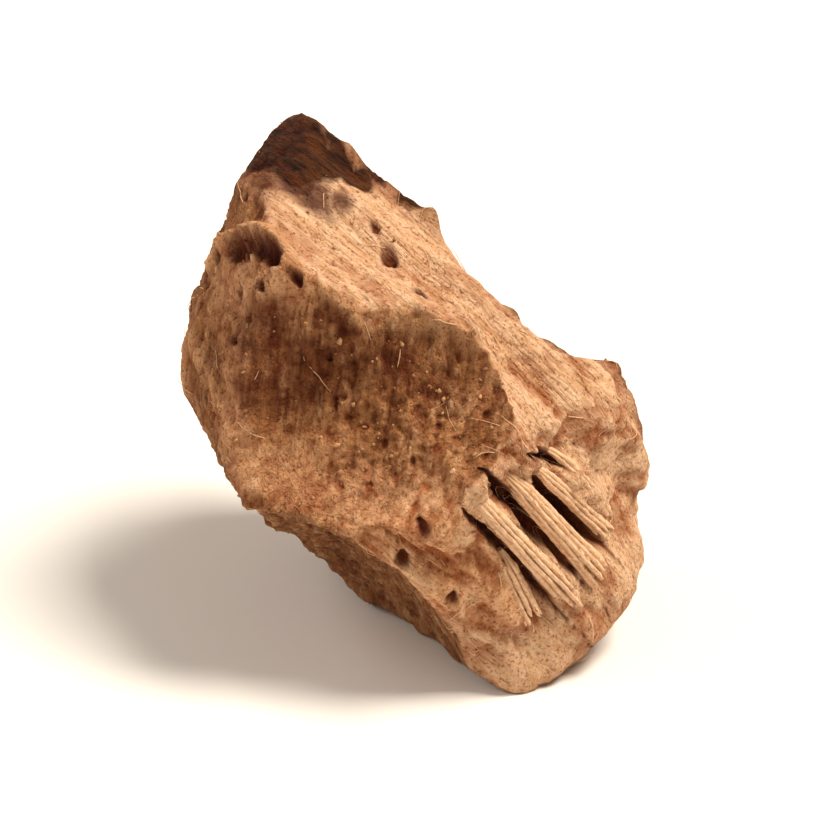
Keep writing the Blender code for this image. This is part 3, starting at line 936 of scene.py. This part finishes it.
def torn_fibre_finish():
    """Bare fibre bundles: the palest part, with thin tan streaks along them and a few brown specks."""
    material, add = empty_material("torn_root_fibre")
    threads = spots(add, 0.10, 1.4, seed=31)
    colour = paint_over(
        add, rgb("#f0c8a2"),
        (spots(add, 0.10, 1.4, 0.40, 0.72, 31), rgb("#cd976b")),
        (spots(add, 0.5, 2.5, 0.52, 0.72, 32), rgb("#e2bb97")),
        (spots(add, 0.14, 0.5, 0.60, 0.74, 33), rgb("#9b6a43")))
    dust = add("Math", {0: spots(add, 0.07, seed=34), 1: 0.03}, operation="MULTIPLY")
    height = add("Math", {0: threads, 1: 0.09, 2: dust}, operation="MULTIPLY_ADD")
    dry_surface(add, colour, height)
    return material


# %% [markdown]
# ## Hairs
#
# Dried galangal is full of tough hair-like fibres, and wherever it broke some of them are left
# standing. A hair is a tube of five sides that starts just under the surface, runs mostly along
# the root's fibres, bends a little to one side, and lifts off towards its free end. Places are
# drawn at random with a fixed seed. A split takes more of them than a break or the skin.

# %% Hairs all over, most of them short and lying close
HAIRS, HAIR_RINGS, HAIR_SIDES = 240, 9, 5
HAIR_LENGTHS = (0.25, 1.1)  # in millimetres
HAIR_WISH = {"split": 0.9, "break": 0.07, "skin": 0.25, "cut": 0.3}  # how many, against each other
BED_WISH, BED_WISH_SPREAD = 2.0, 0.3  # how many more in the bed of the torn fibres
FOOT_WAY = -0.8  # a way that points down more steeply than this meets the foot


def random_ways(count, rng):
    """Directions spread evenly over all ways, but for the flat foot."""
    ways = unit(rng.normal(size=(3 * count, 3)))
    return ways[ways[:, 2] > FOOT_WAY][:count]


def hairs():
    """Points and faces of all hairs, at places drawn by how many each kind of face should have."""
    rng = np.random.default_rng(5)
    ways = random_ways(6000, rng)
    ground, looks = finished_surface(ways)
    wish = sum(weight * looks[kind] for kind, weight in HAIR_WISH.items())
    wish = wish + BED_WISH * bell(ways, facing(*TORN_BED), BED_WISH_SPREAD)
    chosen = rng.choice(len(ways), HAIRS, replace=False, p=wish / wish.sum())
    root_point, out = ground[chosen], ways[chosen]
    heading = FIBRE * rng.choice((-1, 1), size=(HAIRS, 1)) + 0.45 * rng.normal(size=(HAIRS, 3))
    heading = unit(heading - np.sum(heading * out, axis=1, keepdims=True) * out)
    sideways = np.cross(out, heading)
    length = rng.uniform(*HAIR_LENGTHS, size=(HAIRS, 1, 1)) * MM
    share = np.linspace(0, 1, HAIR_RINGS)[None, :, None]
    bend = rng.normal(scale=0.22, size=(HAIRS, 1, 1)) * length * share**2
    way = unit(root_point[:, None] + heading[:, None] * length * share + sideways[:, None] * bend)
    ground = np.linalg.norm(finished_surface(way.reshape(-1, 3))[0], axis=1)
    ground = ground.reshape(HAIRS, HAIR_RINGS, 1)
    rise = rng.uniform(0.01, 0.15, size=(HAIRS, 1, 1)) * MM
    paths = way * (ground + rise * share**1.4 - 0.03 * MM * (1 - share))
    paths[:, :, 2] = np.maximum(paths[:, :, 2], FOOT_LEVEL + 0.04 * MM)
    thick = rng.uniform(0.008, 0.019, size=(HAIRS, 1, 1)) * MM * (1 - 0.65 * share**2)
    return many_tubes(paths, np.repeat(thick, HAIR_SIDES, axis=2))


# %% [markdown]
# ## Crumbs
#
# A broken face sheds crumbs, and some stay caught on it. A crumb is an icosahedron, a solid of
# twenty triangles, with its corners moved in and out and the whole stretched and turned, set
# nearly half deep into the surface. Most lie on the breaks, and most are very small.

# %% Crumbs on the broken faces
CRUMBS = 450
CRUMB_WISH = {"break": 0.6, "split": 0.10, "skin": 0.15, "lip": 0.5}
GOLDEN = (1 + 5**0.5) / 2
ICOSAHEDRON = unit([(a, b * GOLDEN, 0) for a in (-1, 1) for b in (-1, 1)]
                   + [(0, a, b * GOLDEN) for a in (-1, 1) for b in (-1, 1)]
                   + [(a * GOLDEN, 0, b) for a in (-1, 1) for b in (-1, 1)])


def icosahedron_faces():
    """Its triangles: each three corners that are all next to each other, turned to face outwards."""
    edge = np.linalg.norm(ICOSAHEDRON[:, None] - ICOSAHEDRON[None], axis=-1) < 1.1
    faces = [list(three) for three in itertools.combinations(range(12), 3)
             if all(edge[a, b] for a, b in itertools.combinations(three, 2))]
    for face in faces:
        a, b, c = ICOSAHEDRON[face]
        if np.cross(b - a, c - a) @ a < 0:
            face.reverse()
    return np.array(faces)


def crumbs():
    """Points and faces of all crumbs, at places drawn by how many each kind of face should have."""
    rng = np.random.default_rng(8)
    ways = random_ways(9000, rng)
    ground, looks = finished_surface(ways)
    wish = sum(weight * looks[kind] for kind, weight in CRUMB_WISH.items())
    wish = wish * (ground[:, 2] > FOOT_LEVEL + 0.3 * MM)
    chosen = rng.choice(len(ways), CRUMBS, replace=False, p=wish / wish.sum())
    size = (0.03 + 0.06 * rng.uniform(size=(CRUMBS, 1, 1)) ** 3) * MM
    corners = ICOSAHEDRON[None] * rng.uniform(0.5, 1.3, size=(CRUMBS, 12, 1))
    corners = corners * rng.uniform(0.45, 1.6, size=(CRUMBS, 1, 3))
    turns = np.linalg.qr(rng.normal(size=(CRUMBS, 3, 3)))[0]
    turns = turns * np.sign(np.linalg.det(turns))[:, None, None]
    corners = np.einsum("nij,nkj->nki", turns, corners) * size
    points = ground[chosen][:, None] + ways[chosen][:, None] * size * 0.1 + corners
    faces = icosahedron_faces() + np.arange(CRUMBS)[:, None, None] * 12
    return points.reshape(-1, 3), faces.reshape(-1, 3)


def crumb_finish():
    """Loose crumbs of the same flesh, each brown or tan as the noise falls, with starch on them."""
    material, add = empty_material("root_crumb")
    colour = paint_over(add, rgb("#cc9a6e"), (spots(add, 0.35, None, 0.40, 0.60, 41), rgb("#90603a")))
    dry_surface(add, colour, add("Math", {0: spots(add, 0.07, seed=42), 1: 0.05}, operation="MULTIPLY"))
    return material


# %% The strands, hairs and crumbs as pieces that go with the body
fibre_finish = torn_fibre_finish()
for name, make, finish in (("torn_strands", torn_fibres, fibre_finish),
                           ("fine_hairs", hairs, fibre_finish),
                           ("loose_crumbs", crumbs, crumb_finish())):
    points, faces = make()
    piece = new_piece(name, points + MIDDLE, faces, finish)
    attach(piece, "root")
    print(name, len(faces), "triangles")

# %% [markdown]
# ## Floor, light and camera
#
# The piece stands on a plain pale floor. The main light is soft, as from a large window high on
# the right, with a weaker one from the left and a pale room all round. The camera looks down at
# 32 degrees, as the photograph does, from far enough away to show hardly any perspective.

# %% A pale floor
FLOOR_HALF = 3.0
FLOOR_GAP = 0.02 * MM  # keeps the floor out of the plane of the foot


def make_floor():
    """A large matt card just under the piece."""
    corners = FLOOR_HALF * np.array(((-1, -1, 0), (1, -1, 0), (1, 1, 0), (-1, 1, 0)))
    material = bpy.data.materials.new("matt_white_card")
    material.use_nodes = True
    shader = material.node_tree.nodes["Principled BSDF"]
    shader.inputs["Base Color"].default_value = rgb("#efedea")
    shader.inputs["Roughness"].default_value = 0.9
    floor = new_piece("floor", corners - (0, 0, FLOOR_GAP), [(0, 1, 2, 3)], material)


make_floor()

# %% Soft light and the camera
scene = bpy.context.scene
scene.view_settings.view_transform = "Standard"
target = Vector(MIDDLE)


def area_light(name, azimuth, elevation, distance, size, power, colour):
    """A square soft light that looks at the piece from an azimuth and an elevation."""
    data = bpy.data.lights.new(name, "AREA")
    data.size = size
    data.energy = power
    data.color = rgb(colour)[:3]
    light = bpy.data.objects.new(name, data)
    way = Vector(facing(azimuth, elevation))
    light.location = target + way * distance
    light.rotation_euler = way.to_track_quat("Z", "Y").to_euler()
    scene.collection.objects.link(light)


area_light("window", 8, 62, distance=0.45, size=0.18, power=3.05, colour="#fff5e6")
area_light("room", 175, 40, distance=0.60, size=0.40, power=1.9, colour="#f8efe6")
world = bpy.data.worlds.new("pale_room")
scene.world = world
world.use_nodes = True
background = world.node_tree.nodes["Background"]
background.inputs["Color"].default_value = rgb("#eadbc8")
background.inputs["Strength"].default_value = 0.34

FRAME_WIDTH = 23.0 * MM  # what the picture spans at the middle of the piece
CAMERA_ELEVATION = 32
DISTANCE = 0.25
SENSOR = 36.0
camera_data = bpy.data.cameras.new("camera")
camera_data.sensor_width = SENSOR
camera_data.lens = SENSOR * DISTANCE / FRAME_WIDTH
camera_data.clip_start = 0.01
camera_data.clip_end = 10
camera = bpy.data.objects.new("camera", camera_data)
towards_camera = Vector(facing(-90, CAMERA_ELEVATION))
camera.location = target + towards_camera * DISTANCE
camera.rotation_euler = towards_camera.to_track_quat("Z", "Y").to_euler()
scene.collection.objects.link(camera)
scene.camera = camera
